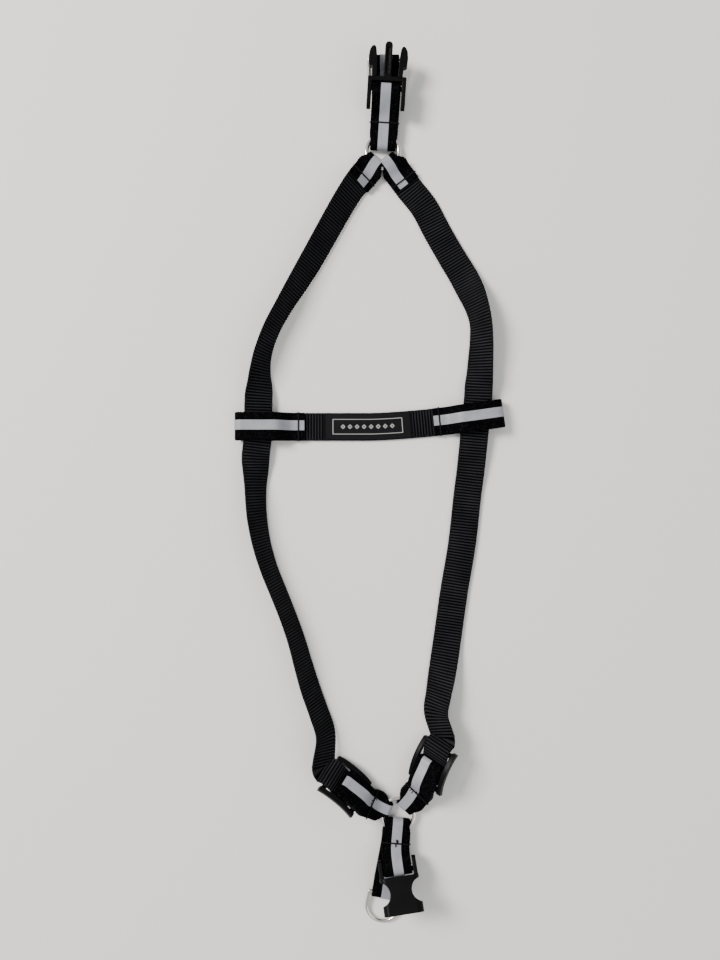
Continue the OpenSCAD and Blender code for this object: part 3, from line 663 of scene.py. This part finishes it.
# How far the middle of the tape lies from the middle of its strip, along the strip's side vector
tapeShift = {"left": -1.2, "right": -2.2, "tab": 0.3, "cross": 0.7}


def longStrapPieces(side, parts):
    whole = np.concatenate([parts[k] for k in ("top", "run", "in", "back", "tail")])
    keep(webbingPiece(side + "StrapWebbing", whole), "root", "webbing", "webbing", side + "_strap")
    above = np.concatenate([parts["top"], parts["run"]])
    below = np.concatenate([parts["in"][-taped["ring"]:], parts["back"][:-taped["bare"]]])
    strips = joined(side + "StrapTape", [tapePiece(side + "TapeRun", above, tapeShift[side]),
                                         tapePiece(side + "TapeLoop", below, tapeShift[side])])
    keep(strips, "root", "tape", "reflective_tape", side + "_strap_tape")


longStrapPieces("left", leftParts)
longStrapPieces("right", rightParts)
print("long straps made")


# A tab: its webbing and tape are left unattached to any body, with their transforms baked in; the ends of the
# fold line beside the ring are worked out but not used
def tabPieces(which, parts, q):
    whole = np.concatenate([parts["out"], parts["over"], parts["under"]])
    strap = webbingPiece(which + "TabWebbing", whole)
    shown = np.concatenate([parts["out"][-taped["front"]:], parts["over"],
                            parts["under"][:taped[which]]])
    stripe = tapePiece(which + "TabTape", shown, tapeShift["tab"])
    start = (walk(q, tab["hinge"] - tab["bend"]) - frameAt) * mm
    end = (walk(q, tab["hinge"] + tab["bend"]) - frameAt) * mm
    for piece, material, slot, replaced in (
            (strap, "webbing", "webbing", (which + "_tab", which + "_tab_loop")),
            (stripe, "tape", "reflective_tape", (which + "_tab_tape",))):
        keep(piece, None, material, slot, *replaced)
        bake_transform(piece)


tabPieces("upper", upperTab, upperFront)
tabPieces("lower", lowerTab, lowerFront)

crossWebbing = webbingPiece("crossStrapWebbing", crossFrames)
keep(crossWebbing, "cross", "webbing", "webbing", "cross_strap")
foldCount = len(crossHalf)
crossTape = joined("crossStrapTape", [
    tapePiece("crossTapeLeft", crossFrames[:foldCount], tapeShift["cross"]),
    tapePiece("crossTapeRight", crossFrames[-foldCount:], tapeShift["cross"])])
keep(crossTape, "cross", "tape", "reflective_tape", "cross_strap_tape")
print("tabs and cross strap made")


# Thread
def threadPiece(name, paths, thick):
    curve = bpy.data.curves.new(name, "CURVE")
    curve.dimensions = "3D"
    curve.bevel_depth = thick / 2 * mm
    curve.bevel_resolution = 2
    curve.resolution_u = 3
    curve.use_fill_caps = True
    for path in paths:
        spline = curve.splines.new("NURBS")
        spline.points.add(len(path) - 1)
        spline.order_u = 3
        spline.use_endpoint_u = True
        for point, place in zip(spline.points, path):
            point.co = (*((np.array(place) - frameAt) * mm), 1)
    piece = bpy.data.objects.new(name, curve)
    bpy.context.scene.collection.objects.link(piece)
    choose(piece)
    bpy.ops.object.convert(target="MESH")
    piece = bpy.context.view_layer.objects.active
    bpy.ops.object.mode_set(mode="EDIT")
    bpy.ops.mesh.select_all(action="SELECT")
    bpy.ops.mesh.remove_doubles(threshold=0.00001)
    bpy.ops.object.mode_set(mode="OBJECT")
    outwards(piece)
    return piece


# A bar tack: two zigzag passes across the strap, turned down at both edges, and loose ends on the tape
tack = {"thread": 0.55, "pitch": 0.7, "swing": 0.36, "loose": 2.6}


def onFrame(row, along, side, rise):
    forward = np.cross(row[3:6], row[6:9])
    return row[0:3] + forward * along + row[3:6] * side + row[6:9] * rise


def tackPiece(name, row, body, node, loose, span, shift, seed):
    draw = np.random.default_rng(seed)
    top = halfThick + tape["thick"] + tack["thread"] / 2
    count = int(2 * span / tack["pitch"])
    paths = []
    for sign in (-1, 1):
        path = [onFrame(row, 0, -span - 0.15, halfThick - 0.5)]
        for i in range(count + 1):
            side = mix(-span, span, i / count)
            nearTape = abs(side - shift) < tape["width"] / 2 + 0.3
            rise = top - (0 if nearTape else tape["thick"] - 0.06) + 0.08 * (-1) ** i
            swing = sign * tack["swing"] * (-1) ** i + draw.uniform(-0.06, 0.06)
            path.append(onFrame(row, swing, side, rise))
        path.append(onFrame(row, 0, span + 0.15, halfThick - 0.5))
        paths.append(path)
    for _ in range(loose):
        side = shift + draw.uniform(-0.5, 0.5) * tape["width"]
        away = draw.choice([-1, 1]) * tack["loose"] * draw.uniform(0.5, 1)
        bend = draw.uniform(-1.2, 1.2)
        steps = [(0, 0, 0.1), (away * 0.3, bend * 0.2, 0.3), (away * 0.7, bend * 0.5, 0.22),
                 (away, bend, 0.02)]
        paths.append([onFrame(row, a, side + b, top + c) for a, b, c in steps])
    piece = threadPiece(name, paths, tack["thread"])
    keep(piece, body, "thread", "thread", node)


def tackRow(q, s, height):
    return layFrame(q, (s, height), (1, 0), 1, [halfWidth, halfWidth])


def crossRow(x):
    return crossFrame((x, low + layer), (1, 0))


# Name, place, body, node, loose ends, half its span, which tape it crosses, seed
for name, row, body, node, loose, span, shift, seed in (
        ("leftTopTack", tackRow(topLeft, 18.1, low + layer + 0.25), "root", "left_top_tack",
         0, 7.9, "left", 3),
        ("rightTopTack", tackRow(topRight, 19.9, low + layer), "root", "right_top_tack",
         0, 8.1, "right", 4),
        ("leftBottomTack", tackRow(lowLeft, 16.5, low + 2 * layer + 1.0), "root", "left_bottom_tack",
         4, 8.1, "left", 5),
        ("rightBottomTack", tackRow(lowRight, 17.5, low + 2 * layer + 1.15), "root",
         "right_bottom_tack", 4, 8.1, "right", 6),
        ("upperTabTack", tackRow(upperFront, tab["tack"], low + 3 * layer), "upper_tab_body",
         "upper_tab_tack", 0, 8.1, "tab", 7),
        ("lowerTabTack", tackRow(lowerFront, tab["tack"], low + 3 * layer), "lower_tab_body",
         "lower_tab_tack", 3, 8.1, "tab", 8),
        ("crossLeftTack", crossRow(-cross["tack"]), "cross", "cross_left_tack", 0, 8.1, "cross", 9),
        ("crossRightTack", crossRow(cross["tack"]), "cross", "cross_right_tack", 0, 8.1, "cross", 10)):
    tackPiece(name, row, body, node, loose, span, tapeShift[shift], seed)
print("bar tacks made")

# Label
labelEnds = (label["middle"] - label["length"] / 2, label["middle"] + label["length"] / 2)
labelRows = np.array([crossFrame((mix(*labelEnds, i / label["steps"]), low), (1, 0))
                      for i in range(label["steps"] + 1)])
labelFace = labelRows.copy()
labelFace[:, :3] += labelFace[:, 6:9] * (halfThick + 0.04 + label["thick"] / 2)
labelFace[:, 9:] = label["width"] / 2
labelPiece = strip("wovenLabel", labelFace, 1.0, label["thick"], 0.2)
keep(labelPiece, "cross", "label", "woven_label", "label")

stitches = []
for end, outward in ((0, -1), (label["steps"], 1)):
    row = labelRows[end]
    for i in range(8):
        side = mix(-label["width"] / 2 + 1.1, label["width"] / 2 - 1.1, i / 7)
        rise = halfThick + label["thick"] + 0.06
        steps = [(-0.75, -0.2), (-0.55, 0.12), (0.55, 0.12), (0.75, -0.2)]
        stitches.append([onFrame(row, outward * label["stitchOut"], side + a, rise + b) for a, b in steps])
labelStitches = threadPiece("labelStitches", stitches, label["thread"])
keep(labelStitches, "cross", "thread", "thread", "label_stitching")
print("label made")


# Moulded pieces: the CAD solid with its edges rounded by a fine remesh and a light smoothing
mould = {"voxel": 0.25, "rounds": 5}


def moulded(name, node, body):
    source = nodes[node]
    piece = bpy.data.objects.new(name, source.data.copy())
    bpy.context.scene.collection.objects.link(piece)
    choose(piece)
    bpy.ops.object.mode_set(mode="EDIT")
    bpy.ops.mesh.select_all(action="SELECT")
    bpy.ops.mesh.remove_doubles(threshold=0.000001)
    bpy.ops.object.mode_set(mode="OBJECT")
    remesh = piece.modifiers.new("remesh", "REMESH")
    remesh.mode = "VOXEL"
    remesh.voxel_size = mould["voxel"] * mm
    bpy.ops.object.modifier_apply(modifier="remesh")
    soften = piece.modifiers.new("soften", "SMOOTH")
    soften.iterations = mould["rounds"]
    bpy.ops.object.modifier_apply(modifier="soften")
    bpy.ops.object.shade_smooth()
    keep(piece, body, "plastic", "plastic", node)
    return piece


for name, node, body in (
        ("leftSlide", "left_slide", "root"), ("rightSlide", "right_slide", "root"),
        ("plugBody", "plug_body", "plug"), ("plugArmLeft", "plug_arm_left", "left_arm"),
        ("plugArmRight", "plug_arm_right", "right_arm"), ("socketBody", "socket_body", "socket")):
    moulded(name, node, body)
print("moulded pieces made")

for node in ("upper_ring", "lower_ring", "upper_dee_ring", "lower_dee_ring"):
    nodes[node].data.materials.clear()
    nodes[node].data.materials.append(finish["nickel"])

# Floor, light and camera
bpy.ops.mesh.primitive_plane_add(size=6, location=(0, 0, -0.0001))
floor = bpy.context.active_object
floor.name = "floor"
floor.data.materials.append(newMaterial("pale floor", {"Base Color": linear("#e6e3de"), "Roughness": 0.9})[0])


def addLight(name, place, size, watts, colour):
    light = bpy.data.lights.new(name, "AREA")
    light.size = size
    light.energy = watts
    light.color = colour
    lamp = bpy.data.objects.new(name, light)
    lamp.location = place
    lamp.rotation_euler = (Vector((0, 0, 0)) - Vector(place)).to_track_quat("-Z", "Y").to_euler()
    bpy.context.scene.collection.objects.link(lamp)


addLight("keyLight", (-1.3, 0.7, 1.3), 0.7, 60, (1.0, 0.98, 0.95))
addLight("fillLight", (1.2, -0.8, 1.6), 1.6, 13, (0.96, 0.98, 1.0))
world = bpy.data.worlds.new("studio")
world.use_nodes = True
world.node_tree.nodes["Background"].inputs["Color"].default_value = (0.95, 0.97, 1.0, 1)
world.node_tree.nodes["Background"].inputs["Strength"].default_value = 0.68
bpy.context.scene.world = world

camera = bpy.data.cameras.new("camera")
camera.sensor_fit = "VERTICAL"
camera.sensor_height = 36
camera.lens = 27
camera.clip_start = 0.01
cameraPiece = bpy.data.objects.new("camera", camera)
cameraPiece.location = (-0.0056, 0.0050, 0.411)
bpy.context.scene.collection.objects.link(cameraPiece)
bpy.context.scene.camera = cameraPiece
print("floor, light and camera set")
